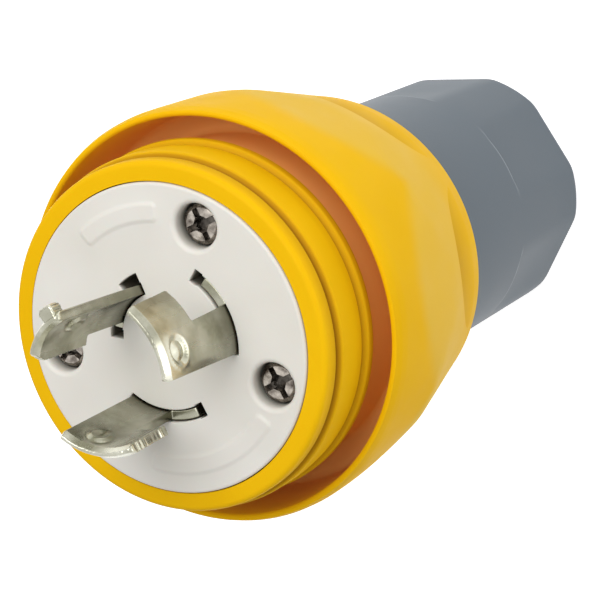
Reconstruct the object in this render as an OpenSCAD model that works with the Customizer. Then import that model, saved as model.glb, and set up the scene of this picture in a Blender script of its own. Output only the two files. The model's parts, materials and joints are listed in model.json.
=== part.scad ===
// Locking power plug with three curved blades, a rubber boot with a shroud, and a clamp nut.
// It stands on the rear end of the nut with the blades up. The origin is the centre of that end.

/* [Face] */
// Diameter of the white face
face_d = 45; // [44:0.25:46]
// Thickness of the face insulator
face_t = 9; // [8:0.5:10.5]
// How far the face stands out of the nose of the boot
face_proud = 0.4; // [0.1:0.1:0.8]
// Height of the two bare label pads
pad_h = 0.25; // [0.1:0.05:0.4]
// Radial width of the label pads
pad_w = 3.4; // [2.5:0.1:3.8]

/* [Blades] */
// Thickness of the blade metal
blade_t = 1.45; // [1.2:0.05:1.8]
// Inner radius of the two line blades
line_r = 10.35; // [10:0.05:10.8]
// Inner radius of the neutral blade
neutral_r = 7.1; // [6.8:0.05:7.6]
// Length of the line blades in front of the face
line_len = 18; // [16:0.2:20]
// Length of the neutral blade in front of the face
neutral_len = 21; // [20:0.1:23]
// Arc of a line blade where it leaves the face, in degrees
line_arc = 35; // [30:1:38]
// Extra arc of a line blade's hook, in degrees
line_hook = 27; // [20:1:30]
// Arc of the neutral blade where it leaves the face, in degrees
neutral_arc = 51; // [44:1:54]
// Extra arc of the neutral blade's hook, in degrees
neutral_hook = 12; // [10:1:16]
// Distance from the face to the rear edge of a hook
hook_z = 8.6; // [7:0.1:9.5]
// Bevel at the tip of each blade
tip_bevel = 1.1; // [0.6:0.1:1.4]
// Outward tilt of the neutral blade, in degrees
neutral_tilt = 3.4; // [0:0.2:4]
// Slant of the long edge of blade X, in degrees
line_x_slant = 2.8; // [0:0.2:3.4]
// Outer radius of the neutral blade's tab
tab_r = 10; // [9.6:0.1:10.8]
// Length of the neutral blade's tab
tab_len = 2.6; // [2.2:0.1:3.6]
// Arc of the neutral blade's tab, in degrees
tab_arc = 16; // [10:1:18]
// Diameter of the coined dimple near each tip
dimple_d = 3.8; // [3:0.1:4.2]
// Depth of the dimple
dimple_h = 0.4; // [0.2:0.05:0.6]
// Distance of the dimple's middle from the face
dimple_z = 13.9; // [13:0.1:14.4]
// Angle of the dimple's middle from the blade's long edge, in degrees
dimple_turn = 21.5; // [19:0.5:26]
// Clearance round a blade in its slot
slot_gap = 0.18; // [0.1:0.02:0.25]
// Height of the flange that traps each blade
flange_t = 2.3; // [1.8:0.1:3]

/* [Terminals] */
// Length of a blade's terminal tail behind its flange
tail_len = 13; // [12:0.5:14]
// Width of a terminal tail and of its clamp plate
tail_w = 8; // [7.4:0.1:8.4]
// Room for the wire between a tail and its clamp plate
wire_gap = 2.4; // [1.8:0.1:2.6]
// Thickness of a clamp plate
plate_t = 1.4; // [1:0.1:1.5]
// Diameter of the terminal screws
term_screw_d = 3.2; // [2.8:0.1:3.6]
// Diameter of the terminal screws' heads
term_head_d = 6; // [5.4:0.1:6.6]
// Height of the terminal screws' heads
term_head_h = 2.2; // [1.6:0.1:2.4]
// Diameter of the wire holes
wire_hole_d = 4.6; // [4:0.1:5]

/* [Insulator and assembly screws] */
// Length of the rear insulator
rear_len = 20; // [19:0.5:22]
// Thickness of the rear insulator's end wall
rear_wall = 3.5; // [2.5:0.25:4]
// Radius of the circle of assembly screws
screw_ring_r = 17.75; // [17.25:0.05:18]
// Diameter of the assembly screws
screw_d = 3.5; // [3:0.1:3.8]
// Diameter of their heads
screw_head_d = 5.9; // [5.5:0.1:6]
// Height of their heads
screw_head_h = 2.4; // [2:0.1:2.8]
// Depth of the heads below the face
screw_sink = 1.7; // [1.2:0.1:2.4]
// Diameter of the threaded inserts
insert_d = 5.2; // [4.8:0.1:5.4]
// Length of the threaded inserts
insert_len = 7; // [5:0.5:8]

/* [Boot] */
// Length of the boot
boot_len = 48.7; // [48:0.1:51]
// Largest diameter of the boot
boot_d = 62; // [60.5:0.5:64]
// Diameter of the boot's rear rim
rim_d = 52.4; // [50:0.2:54]
// Wall of the nose round the face
nose_wall = 2.8; // [2.4:0.1:2.9]
// Depth of the two grooves in the nose
groove_h = 0.8; // [0.4:0.05:0.9]
// Distance of the shroud's lip behind the nose
lip_setback = 11; // [8:0.5:14]
// Depth of the gap inside the shroud
gap_depth = 24; // [21:0.5:28]
// Wall of the shroud at its lip
shroud_wall = 1.4; // [1.1:0.1:1.6]
// Length of the taper at the rear of the boot
taper_len = 21; // [18:0.5:24]
// Thickness of the boot's rear wall
boot_back_t = 4.6; // [4:0.1:6]
// Number of grip facets
facet_n = 6; // [5:1:8]
// Angle of the first grip facet, in degrees
facet_turn = 2; // [-30:1:30]
// Radius of curvature of the facets across the boot
facet_curve = 50; // [46:1:60]
// Slope of the facets, in degrees
facet_slope = 6.3; // [5:0.1:7.5]
// Depth of the finger scoops behind the facets
scoop_h = 0.9; // [0.4:0.05:1.1]
// Length of the finger scoops along the boot
scoop_len = 8.2; // [6:0.2:9]
// Distance of their front edge from the boot's rear
scoop_front = 11.8; // [10.5:0.1:12.5]
// Radius of their round front edge
scoop_r = 12.2; // [10:0.2:14]

/* [Clamp nut] */
// Diameter of the clamp nut
nut_d = 42.4; // [42:0.1:43.4]
// Length of the clamp nut
nut_len = 54.7; // [53:0.5:57]
// How far the nut enters the boot
nut_recess = 2; // [1:0.25:2.5]
// Thickness of the nut's end wall
nut_end_t = 4; // [3:0.25:5]
// Length of the flats
flat_len = 24; // [18:0.5:28]
// Depth of the flats at the end
flat_h = 1.1; // [0.7:0.05:1.2]
// Number of flats
flat_n = 6; // [4:1:8]
// Angle of the first flat, in degrees
flat_turn = 28; // [0:1:60]

/* [Housing and cord clamp] */
// Wall of the inner housing's cup
housing_wall = 2; // [1.6:0.1:2.4]
// Height of the housing's sloping shoulder
shoulder_h = 4.2; // [3:0.2:6]
// Outer diameter of the housing's threaded tail
tail_d = 36.8; // [36:0.1:37.2]
// Diameter of the cord that the bushing takes
cord_d = 15; // [12:0.5:16]
// Outer diameter of the bushing
bushing_d = 28.4; // [27:0.1:29]
// Length of the bushing
bushing_len = 20; // [17:0.5:22]
// Length of the grip collet
collet_len = 14; // [12:0.5:16]
// Number of slits in the collet
collet_n = 8; // [4:1:10]
// Thickness of the slip washer
washer_t = 1.5; // [1:0.1:2]
// Height of the bushing follower
follower_h = 4; // [3:0.25:5]
// Thickness of the gasket behind the face
gasket_t = 1; // [0.8:0.1:1.4]
// Section diameter of the nut's seal ring
ring_d = 2.1; // [1.8:0.1:2.2]
// Radial clearance of parts that slip together
fit_gap = 0.15; // [0.1:0.05:0.25]

/* [Hidden] */
$fn = 96;
eps = 0.01;
thread_gap = 0.05;          // radial clearance of a screw in its thread

// Heights along the axis, from the nut's rear end upwards
boot_z = nut_len - nut_recess;
face_z = boot_z + boot_len + face_proud;
insulator_z = face_z - face_t;
ledge_z = insulator_z - rear_len;
shoulder_z = boot_z + boot_back_t;
washer_z = nut_end_t + collet_len;
follower_z = washer_z + washer_t;
tail_z = follower_z + 1.5;
bushing_z = follower_z + follower_h;
step_z = bushing_z + bushing_len;
step_h = 2.5;

// Radii
face_r = face_d / 2;
boot_r = boot_d / 2;
nut_r = nut_d / 2;
tail_r = tail_d / 2;
cord_r = cord_d / 2;
bushing_r = bushing_d / 2;
housing_bore_r = face_r - housing_wall;
rear_r = housing_bore_r - fit_gap;
chamber_r = screw_ring_r - insert_d / 2 - 1.2;
nose_r = face_r + fit_gap + nose_wall;
nut_bore_r = tail_r + 0.2;
nut_hole_r = cord_r + 3;
collet_tip_r = nut_hole_r + 1.6;
collet_base_r = tail_r - 2.2;

// Poles: start angle, inner radius, arc, hook arc, length, thickness and slant of each blade
line_x_start = -9;
pole_step = 120;
neutral_start = line_x_start + pole_step - 2;
line_x = [line_x_start, line_r, line_arc, line_hook, line_len, blade_t, line_x_slant];
line_y = [line_x_start - pole_step, line_r, line_arc, line_hook, line_len, blade_t, 0];
neutral = [neutral_start, neutral_r, neutral_arc, neutral_hook, neutral_len, blade_t, 0];
slot_end_w = 2.1;           // width of the small square end of a slot
slot_end_len = 0.8;         // length of that end beyond the blade's tip
flange_side = 5;            // degrees by which a flange is wider than the slot, each side
shoulder_gap = 4;           // degrees left open at the end of a slot
shoulder_sink = 0.45;       // depth of the blade's shoulder below the face
corner_cut = 0.5;           // size of the bevel at each corner of a tip
tab_inset = 3;              // degrees from the neutral blade's edge to the side of its tab
joint_h = 0.5;              // length by which the tilted part reaches into the slot
joint_step = 0.1;           // by how much the tilted part is thinner, each side
joint_arc = 0.5;            // by how many degrees it is narrower, each side
neutral_front = [neutral_start + joint_arc, neutral_r + joint_step, neutral_arc - 2 * joint_arc,
    neutral_hook, neutral_len, blade_t - 2 * joint_step, 0];
screw_angles = [65, -21, 185.5];
clamp_z = insulator_z - flange_t - tail_len / 2;

function pole_mid(p) = p[0] + (p[2] + p[3]) / 2;
function pole_end(p) = p[0] + p[2] + p[3];
function arc_pts(cx, cy, r, a0, a1, n) = [for (i = [0:n]) let (a = a0 + (a1 - a0) * i / n)
    [cx + r * cos(a), cy + r * sin(a)]];

// A curved bar: a sector of a ring
module sector(r0, r1, a0, a1, z0, z1) {
    rotate([0, 0, a0]) translate([0, 0, z0])
        rotate_extrude(angle = a1 - a0) translate([r0, 0]) square([r1 - r0, z1 - z0]);
}

// Everything between two angles and two heights
module wedge(a0, a1, z0, z1) {
    reach = 2 * face_r;
    translate([0, 0, z0]) linear_extrude(height = z1 - z0)
        polygon([[0, 0], for (a = [a0, (a0 + a1) / 2, a1]) reach * [cos(a), sin(a)]]);
}

// A ring with the given section
module ring(r0, r1, z0, z1) {
    difference() {
        translate([0, 0, z0]) cylinder(h = z1 - z0, r = r1);
        translate([0, 0, z0 - eps]) cylinder(h = z1 - z0 + 2 * eps, r = r0);
    }
}

// ---- Clamp nut and cord clamp

module clamp_nut() {
    edge = 1;
    mouth = 2.2;
    tilt = 0.7;
    ring_seat_r = tail_r + ring_d + 0.1;
    ring_seat_h = ring_d + 0.2;
    profile = concat(
        [[nut_hole_r + mouth, 0]],
        arc_pts(nut_r - edge, edge, edge, -90, 0, 4),
        [[nut_r, nut_len - 0.4], [nut_r - 0.4, nut_len],
         [ring_seat_r, nut_len], [ring_seat_r, nut_len - ring_seat_h],
         [nut_bore_r, nut_len - ring_seat_h], [nut_bore_r, washer_z],
         [collet_base_r + fit_gap, washer_z], [collet_tip_r + fit_gap, nut_end_t],
         [nut_hole_r, nut_end_t]],
        arc_pts(nut_hole_r + mouth, mouth, mouth, 180, 270, 4));
    color("slategray") difference() {
        rotate_extrude() polygon(profile);
        for (i = [0:flat_n - 1]) rotate([0, 0, flat_turn + i * 360 / flat_n])
            translate([nut_r - flat_h, -nut_r / 2, 0]) rotate([0, tilt, 0])
                translate([0, 0, -2]) cube([5, nut_r, flat_len + 2]);
    }
}

module slip_washer() {
    color("silver") ring(cord_r + 1, tail_r - 1, washer_z, washer_z + washer_t);
}

module grip_collet() {
    slit_w = 1.2;
    base_h = 4;
    bore_r = cord_r + 0.6;
    color("ivory") difference() {
        rotate_extrude() polygon([[bore_r, nut_end_t], [collet_tip_r, nut_end_t],
            [collet_base_r, washer_z], [bore_r, washer_z]]);
        for (i = [0:collet_n - 1]) rotate([0, 0, i * 360 / collet_n])
            translate([0, -slit_w / 2, nut_end_t - eps])
                cube([tail_r, slit_w, collet_len - base_h]);
    }
}

module bushing_follower() {
    color("ivory") ring(cord_r + 0.8, bushing_r, follower_z, bushing_z);
}

module cord_bushing() {
    lip = 1.5;
    color("dimgray") rotate_extrude() polygon([[cord_r, bushing_z], [bushing_r, bushing_z],
        [bushing_r, step_z - lip], [bushing_r - lip, step_z], [cord_r + lip, step_z],
        [cord_r, step_z - lip]]);
}

module nut_seal_ring() {
    color("black") translate([0, 0, nut_len - ring_d / 2])
        rotate_extrude() translate([tail_r + 0.05 + ring_d / 2, 0]) circle(d = ring_d, $fn = 32);
}

// ---- Inner housing

module inner_housing() {
    lead = 0.8;
    step_r = bushing_r - 2.5;
    bush_bore_r = bushing_r + fit_gap;
    front_z = insulator_z - gasket_t;
    cup_z = shoulder_z + shoulder_h;
    profile = [[bush_bore_r, tail_z], [tail_r - lead, tail_z], [tail_r, tail_z + lead],
        [tail_r, shoulder_z], [face_r, cup_z], [face_r, front_z], [housing_bore_r, front_z],
        [housing_bore_r, ledge_z], [chamber_r, ledge_z], [chamber_r, step_z + step_h],
        [step_r, step_z + step_h], [step_r, step_z], [bush_bore_r, step_z]];
    color("darkslategray") difference() {
        rotate_extrude() polygon(profile);
        for (a = screw_angles) rotate([0, 0, a]) translate([screw_ring_r, 0, ledge_z - insert_len])
            cylinder(h = insert_len + 1, d = insert_d, $fn = 32);
    }
}

module threaded_inserts() {
    color("goldenrod") for (a = screw_angles) rotate([0, 0, a])
        translate([screw_ring_r, 0, ledge_z - insert_len]) difference() {
            cylinder(h = insert_len, d = insert_d - 2 * thread_gap, $fn = 32);
            translate([0, 0, -1]) cylinder(h = insert_len + 2, r = screw_d / 2 + thread_gap, $fn = 32);
        }
}

// ---- Boot

// Outline of the boot's section. Heights are measured down from the nose's front.
module boot_section() {
    top = boot_z + boot_len;
    bore_r = face_r + fit_gap;
    rib2_r = nose_r + 0.6;
    rib3_r = nose_r + 1;
    core_r = nose_r - 0.35;
    groove1 = 3.2;          // place of the first groove
    groove2 = 10.2;         // place of the second groove
    groove_w = 0.9;
    rib3_end = 12.3;
    gap_floor = top - gap_depth;
    gap_top_r = boot_r - shroud_wall;
    gap_low_r = gap_top_r - 0.6;
    lip_z = top - lip_setback;
    rim_r = rim_d / 2;
    hole_r = tail_r + fit_gap;
    cup_z = shoulder_z + shoulder_h;
    round_r = 0.9;
    lip_r = shroud_wall * 0.42;
    fillet = 1.2;
    nose = concat([[bore_r, top]],
        arc_pts(nose_r - round_r, top - round_r, round_r, 90, 0, 4),
        [[nose_r, top - groove1 + groove_w / 2],
         [nose_r - groove_h, top - groove1 + groove_w / 4],
         [nose_r - groove_h, top - groove1 - groove_w / 4],
         [rib2_r - 0.3, top - groove1 - groove_w / 2],
         [rib2_r, top - groove1 - groove_w],
         [rib2_r, top - groove2 + 2.6],
         [rib2_r - 0.25, top - groove2 + groove_w / 2],
         [nose_r - 0.1, top - groove2 + groove_w / 4],
         [nose_r - 0.1, top - groove2 - groove_w / 4],
         [rib3_r - 0.3, top - groove2 - groove_w / 2],
         [rib3_r, top - groove2 - groove_w],
         [rib3_r, top - rib3_end + 0.4],
         [rib3_r - 0.4, top - rib3_end],
         [core_r, top - rib3_end - 0.3]]);
    gap = concat(
        arc_pts(core_r + fillet, gap_floor + fillet, fillet, 180, 270, 3),
        arc_pts(gap_low_r - fillet, gap_floor + fillet, fillet, 270, 360, 3),
        [[gap_top_r, lip_z - lip_r]],
        arc_pts(gap_top_r + lip_r, lip_z - lip_r, lip_r, 180, 60, 3));
    outside = concat(
        [[boot_r - 0.15, lip_z - 1.1], [boot_r, lip_z - 2.6], [boot_r, lip_z - 5],
         [boot_r - 0.15, boot_z + taper_len + 1.5], [boot_r - 0.4, boot_z + taper_len - 0.3]],
        arc_pts(rim_r - 0.6, boot_z + 0.6, 0.6, 12, -90, 3));
    back = [[nut_r + 0.3, boot_z], [nut_r + 0.3, nut_len], [hole_r, nut_len],
        [hole_r, shoulder_z], [bore_r, cup_z]];
    polygon(concat(nose, gap, outside, back));
}

// Radius of the boot's rear taper at a height above its rear
function taper_r(h) = rim_d / 2 + (boot_r - 0.4 - rim_d / 2) * (h - 0.6) / (taper_len - 0.9);

module boot() {
    facet_foot = boot_r - 0.1;              // radius at which each facet starts
    facet_z = boot_z + taper_len + 8;       // height at which each facet starts
    half_cut = 1.5 * boot_len;              // half the length of a facet's cutter
    scoop_end = scoop_front - scoop_len;
    scoop_top = scoop_front + 1;
    fall = (taper_r(scoop_front) - scoop_h - taper_r(scoop_end)) / scoop_len;
    color("gold") difference() {
        intersection() {
            rotate_extrude() boot_section();
            intersection_for (i = [0:facet_n - 1]) rotate([0, 0, facet_turn + i * 360 / facet_n])
                translate([facet_foot, 0, facet_z]) rotate([0, facet_slope, 0])
                    translate([-facet_curve, 0, -half_cut])
                        cylinder(h = 2 * half_cut, r = facet_curve, $fn = 180);
        }
        // Scoops: a wedge-like ring outside the floor, inside a round outline
        for (i = [0:facet_n - 1]) intersection() {
            translate([0, 0, boot_z]) rotate_extrude() polygon([
                [taper_r(scoop_end) - fall, scoop_end - 1],
                [taper_r(scoop_end) + fall * (scoop_len + 1), scoop_top],
                [boot_r + 1, scoop_top], [boot_r + 1, scoop_end - 1]]);
            rotate([0, 0, facet_turn + i * 360 / facet_n])
                translate([rim_d / 4, 0, boot_z + scoop_front - scoop_r])
                    rotate([0, 90, 0]) cylinder(h = boot_r, r = scoop_r, $fn = 96);
        }
    }
}

// ---- Insulators

// Shape of a slot in the face: the blade's whole tip, with a small square end
module slot(p, z0, z1) {
    r0 = p[1] - slot_gap;
    r1 = p[1] + blade_t + slot_gap;
    side = slot_gap / p[1] * 180 / PI;
    sector(r0, r1, p[0] - side, pole_end(p) + side, z0, z1);
    rotate([0, 0, pole_end(p)]) translate([(r0 + r1) / 2 - slot_end_w / 2, -0.5, z0])
        cube([slot_end_w, 0.5 + slot_end_len, z1 - z0]);
}

// Leg of the neutral slot through which the tab passes
module tab_slot(z0, z1) {
    side = 0.5;
    sector(neutral_r + slot_gap, tab_r + slot_gap, neutral[0] - side,
        neutral[0] + tab_inset + tab_arc + side, z0, z1);
}

module face_insulator() {
    edge = 0.5;
    mouth = 0.6;
    through_r = screw_d / 2 + 0.25;
    bore_r = screw_head_d / 2 + 0.3;
    pad_r = screw_ring_r + 0.55 - pad_w / 2;
    color("whitesmoke") difference() {
        union() {
            rotate_extrude() polygon([[0, insulator_z], [face_r, insulator_z],
                [face_r, face_z - edge], [face_r - edge, face_z], [0, face_z]]);
            sector(pad_r, pad_r + pad_w, 84, 128, face_z - 1, face_z + pad_h);
            sector(pad_r, pad_r + pad_w, -106, -36, face_z - 1, face_z + pad_h);
        }
        for (p = [line_x, line_y, neutral]) slot(p, insulator_z - 1, face_z + 1);
        tab_slot(insulator_z - 1, face_z + 1);
        for (a = screw_angles) rotate([0, 0, a]) translate([screw_ring_r, 0, 0]) {
            translate([0, 0, insulator_z - 1]) cylinder(h = face_t + 2, r = through_r, $fn = 32);
            translate([0, 0, face_z - screw_sink - screw_head_h])
                cylinder(h = face_t, r = bore_r, $fn = 48);
            translate([0, 0, face_z - mouth]) cylinder(h = mouth + eps, r1 = bore_r,
                r2 = bore_r + mouth * 0.7, $fn = 48);
        }
    }
}

module rear_insulator() {
    pocket_w = tail_w + 1.4;
    gap = 0.3;
    back_gap = 0.6;
    pocket_z = ledge_z + rear_wall;
    pocket_h = insulator_z - flange_t + 1 - pocket_z;
    color("gainsboro") difference() {
        translate([0, 0, ledge_z]) cylinder(h = rear_len, r = rear_r);
        for (p = [line_x, line_y, neutral]) {
            // Seat of the blade's flange
            side = flange_side + gap / p[1] * 180 / PI;
            sector(p[1] - gap, p[1] + blade_t + gap, p[0] - side, pole_end(p) + side,
                insulator_z - flange_t, insulator_z + 1);
            // Pocket of the terminal, open to the side for its screw
            rotate([0, 0, pole_mid(p)]) difference() {
                translate([0, -pocket_w / 2, pocket_z]) cube([face_r, pocket_w, pocket_h]);
                translate([0, 0, pocket_z - 1]) cylinder(h = rear_len, r = p[1] - back_gap);
            }
            // Hole for the wire
            rotate([0, 0, pole_mid(p)]) translate([p[1] + blade_t + wire_gap / 2, 0, ledge_z - 1])
                cylinder(h = rear_wall + 2, d = wire_hole_d, $fn = 32);
        }
        for (a = screw_angles) rotate([0, 0, a]) translate([screw_ring_r, 0, ledge_z - 1])
            cylinder(h = rear_len + 2, r = screw_d / 2 + 0.25, $fn = 32);
    }
}

module face_gasket() {
    color("black") ring(rear_r + 0.1, face_r - 0.2, insulator_z - gasket_t, insulator_z);
}

// ---- Blades and terminals

// Blade with its hook, the shoulder in the face, the flange and the terminal tail. Each of
// the tip's bevelled corners is an angle, the side on which the metal lies, a width and a height.
module blade(p, corners) {
    r0 = p[1];
    r1 = p[1] + p[5];
    tip = face_z + p[4];
    land = 0.45;                                // width of the flat at the very tip
    bevel_w = (p[5] - land) / 2;
    flange_z = insulator_z - flange_t;
    tail_end = flange_z - tail_len;
    tail_half = asin(tail_w / 2 / r1);
    a_low = p[0] - flange_side;
    a_high = pole_end(p) + flange_side;
    section = [[r0, tail_end], [r1, tail_end], [r1, tip - tip_bevel], [r1 - bevel_w, tip],
        [r0 + bevel_w, tip], [r0, tip - tip_bevel]];
    difference() {
        intersection() {
            rotate_extrude() polygon(section);
            wedge(a_low, a_high, tail_end - 1, tip + 1);
        }
        // Beside the whole blade, above the flange
        wedge(a_low - 5, p[0], insulator_z, tip + 2);
        // Beside the shoulder, under the hook and beside the hook
        wedge(pole_end(p) - shoulder_gap, a_high + 5, insulator_z, face_z - 0.2);
        wedge(p[0] + p[2], a_high + 6, face_z - shoulder_sink, face_z + hook_z);
        wedge(pole_end(p), a_high + 7, face_z + hook_z - 1, tip + 3);
        // On both sides of the tail
        wedge(a_low - 6, pole_mid(p) - tail_half, tail_end - 2, flange_z);
        wedge(pole_mid(p) + tail_half, a_high + 8, tail_end - 3, flange_z);
        // Slant of the long edge, from the face on
        if (p[6] > 0) rotate([0, 0, p[0]]) translate([r0 - 1, 0, face_z]) rotate([90, 0, 90])
            linear_extrude(height = p[5] + 2) polygon([[-tan(p[6]), -1],
                [tan(p[6]) * (p[4] + 4), p[4] + 4], [-2, p[4] + 4], [-2, -1]]);
        // Bevels at the corners of the tip
        for (c = corners) rotate([0, 0, c[0]]) translate([r0 - 1, 0, tip]) rotate([90, 0, 90])
            linear_extrude(height = p[5] + 2) polygon([[c[1] * (c[2] + c[2] / c[3]), 1],
                [-c[1], -c[3] - c[3] / c[2]], [-c[1], 1]]);
        // Threaded hole of the terminal screw
        rotate([0, 0, pole_mid(p)]) translate([0, 0, clamp_z]) rotate([0, 90, 0])
            cylinder(h = face_r, r = term_screw_d / 2 + thread_gap, $fn = 32);
    }
}

// Coined dimple: sunk on the outside, raised on the inside
module dimple_cut(p) {
    rotate([0, 0, p[0] + dimple_turn]) translate([p[1] + p[5] - dimple_h, 0, face_z + dimple_z])
        rotate([0, 90, 0]) cylinder(h = dimple_h + 0.5, d1 = dimple_d - 1.2,
            d2 = dimple_d + 1, $fn = 32);
}

module dimple_boss(p) {
    rotate([0, 0, p[0] + dimple_turn]) translate([p[1] - dimple_h, 0, face_z + dimple_z])
        rotate([0, 90, 0]) cylinder(h = dimple_h + 0.3, d1 = dimple_d - 1.4, d2 = dimple_d,
            $fn = 32);
}

module dimpled_blade(p, corners) {
    difference() {
        union() {
            blade(p, corners);
            dimple_boss(p);
        }
        dimple_cut(p);
    }
}

module line_blade(p) {
    tip_start = p[0] + asin(tan(p[6]) * p[4] / p[1]);
    dimpled_blade(p, [[tip_start, 1, corner_cut, corner_cut],
        [pole_end(p), -1, corner_cut, corner_cut]]);
}

module line_blade_x() { color("lightgray") line_blade(line_x); }

module line_blade_y() { color("lightgray") line_blade(line_y); }

// Tab turned outwards at the tip of the neutral blade
module neutral_tab() {
    chamfer = 0.7;
    root_r = neutral_r + 0.6;
    low = face_z + neutral_len - tab_len;
    top = face_z + neutral_len - 0.25;
    rotate([0, 0, neutral[0] + tab_inset]) rotate_extrude(angle = tab_arc)
        polygon([[root_r, low], [tab_r - chamfer / 2, low], [tab_r, low + chamfer / 2],
            [tab_r, top - chamfer], [tab_r - chamfer, top], [root_r, top]]);
}

// The part in front of the face is tilted outwards and stands in the straight part behind it
module neutral_blade() {
    corner_w = 1.3;         // width of the long bevel at the hook's corner
    corner_h = 2.4;         // height of that bevel
    low_cut = 40;           // height of the cutter below the tilted part
    color("lightgray") union() {
        difference() {
            blade(neutral, []);
            translate([0, 0, face_z - joint_h / 2]) cylinder(h = 2 * neutral_len, r = face_r);
        }
        translate([0, 0, face_z]) rotate([-neutral_tilt, 0, 0]) translate([0, 0, -face_z])
            difference() {
                union() {
                    dimpled_blade(neutral_front, [[pole_end(neutral_front), -1, corner_w, corner_h]]);
                    neutral_tab();
                }
                translate([0, 0, face_z - joint_h - low_cut]) cylinder(h = low_cut, r = face_r);
            }
    }
}

// Clamp plate of one pole, held under the head of its screw
module clamp_plate(p) {
    rotate([0, 0, pole_mid(p)]) translate([p[1] + blade_t + wire_gap, 0, clamp_z]) difference() {
        translate([0, -tail_w / 2, -tail_w / 2]) cube([plate_t, tail_w, tail_w]);
        translate([-1, 0, 0]) rotate([0, 90, 0])
            cylinder(h = plate_t + 2, r = term_screw_d / 2 + 0.2, $fn = 32);
    }
}

module neutral_clamp_plate() { color("goldenrod") clamp_plate(neutral); }

module line_clamp_plate_x() { color("goldenrod") clamp_plate(line_x); }

module line_clamp_plate_y() { color("goldenrod") clamp_plate(line_y); }

module terminal_screws() {
    slot_w = 0.9;
    slot_h = 1;
    stack = blade_t + wire_gap + plate_t;
    color("goldenrod") for (p = [line_x, line_y, neutral])
        rotate([0, 0, pole_mid(p)]) translate([p[1], 0, clamp_z]) difference() {
            rotate([0, 90, 0]) union() {
                cylinder(h = stack + 0.2, d = term_screw_d, $fn = 32);
                translate([0, 0, stack]) cylinder(h = term_head_h, d = term_head_d, $fn = 32);
            }
            translate([stack + term_head_h - slot_h, -term_head_d, -slot_w / 2])
                cube([2 * slot_h, 2 * term_head_d, slot_w]);
        }
}

// Long screws that hold the face and the rear insulator to the housing
module assembly_screws() {
    head_z = face_z - screw_sink - screw_head_h;
    dome = 0.5;             // height of the bevelled rim of a head
    drive_w = 2.3;          // side of the square recess
    drive_h = 1.6;
    slot_w = 0.9;
    slot_h = 1.1;
    slot_reach = screw_head_d * 0.8;
    color("gray") for (a = screw_angles) rotate([0, 0, a]) translate([screw_ring_r, 0, 0])
        difference() {
            union() {
                translate([0, 0, ledge_z - insert_len])
                    cylinder(h = head_z - ledge_z + insert_len + 0.1, d = screw_d, $fn = 32);
                translate([0, 0, head_z]) cylinder(h = screw_head_h - dome, d = screw_head_d, $fn = 48);
                translate([0, 0, head_z + screw_head_h - dome])
                    cylinder(h = dome, d1 = screw_head_d, d2 = screw_head_d - 2.4 * dome, $fn = 48);
            }
            // Square recess with a cross slot
            translate([-drive_w / 2, -drive_w / 2, face_z - screw_sink - drive_h])
                cube([drive_w, drive_w, drive_h + 1]);
            for (b = [45, 135]) rotate([0, 0, b])
                translate([-slot_reach / 2, -slot_w / 2, face_z - screw_sink - slot_h])
                    cube([slot_reach, slot_w, slot_h + 2]);
        }
}

clamp_nut();
slip_washer();
grip_collet();
bushing_follower();
cord_bushing();
inner_housing();
nut_seal_ring();
boot();
face_gasket();
face_insulator();
rear_insulator();
neutral_blade();
line_blade_x();
line_blade_y();
neutral_clamp_plate();
line_clamp_plate_x();
line_clamp_plate_y();
terminal_screws();
assembly_screws();
threaded_inserts();
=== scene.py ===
# Locking power plug: boot, nut, face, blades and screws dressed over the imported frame.
# Lengths are in mm, angles in degrees and turns in radians, unless a note says otherwise.
import json
import math

import bmesh
import bpy
from mathutils import Matrix, Vector
from mathutils.geometry import delaunay_2d_cdt
from mathutils.kdtree import KDTree


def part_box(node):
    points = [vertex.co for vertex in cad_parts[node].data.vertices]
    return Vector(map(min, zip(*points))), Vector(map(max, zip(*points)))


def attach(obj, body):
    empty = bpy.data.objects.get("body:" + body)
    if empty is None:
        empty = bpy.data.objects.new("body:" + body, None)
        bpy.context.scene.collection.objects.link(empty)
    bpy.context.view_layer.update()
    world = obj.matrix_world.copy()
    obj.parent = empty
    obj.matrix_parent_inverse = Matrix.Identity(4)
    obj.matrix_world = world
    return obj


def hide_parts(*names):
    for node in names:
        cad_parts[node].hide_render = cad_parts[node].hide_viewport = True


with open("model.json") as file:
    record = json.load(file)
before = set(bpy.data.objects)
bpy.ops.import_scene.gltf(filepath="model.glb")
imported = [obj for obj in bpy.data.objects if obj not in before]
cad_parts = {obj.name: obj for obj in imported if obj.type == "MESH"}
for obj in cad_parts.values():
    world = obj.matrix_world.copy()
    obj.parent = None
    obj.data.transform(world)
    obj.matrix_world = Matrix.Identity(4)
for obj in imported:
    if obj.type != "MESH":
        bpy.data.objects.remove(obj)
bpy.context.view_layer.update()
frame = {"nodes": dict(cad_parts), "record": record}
nodes = frame["nodes"]
mm = 0.001
scene = bpy.context.scene
print("frame loaded:", len(nodes), "nodes")

# heights and radii that the pieces share, read from the frame
boxOf = {name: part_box(name) for name in nodes}
noseTop = boxOf["boot"][1].z / mm
bootBottom = boxOf["boot"][0].z / mm
bootRadius = boxOf["boot"][1].y / mm
nutRadius = boxOf["clamp_nut"][1].y / mm
nutTop = boxOf["clamp_nut"][1].z / mm
padHeight = 0.25
faceTop = boxOf["face_insulator"][1].z / mm - padHeight
seatDepth = faceTop - boxOf["face_insulator"][0].z / mm
faceRadius = boxOf["face_insulator"][1].y / mm
screwTop = boxOf["assembly_screws"][1].z / mm

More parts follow.
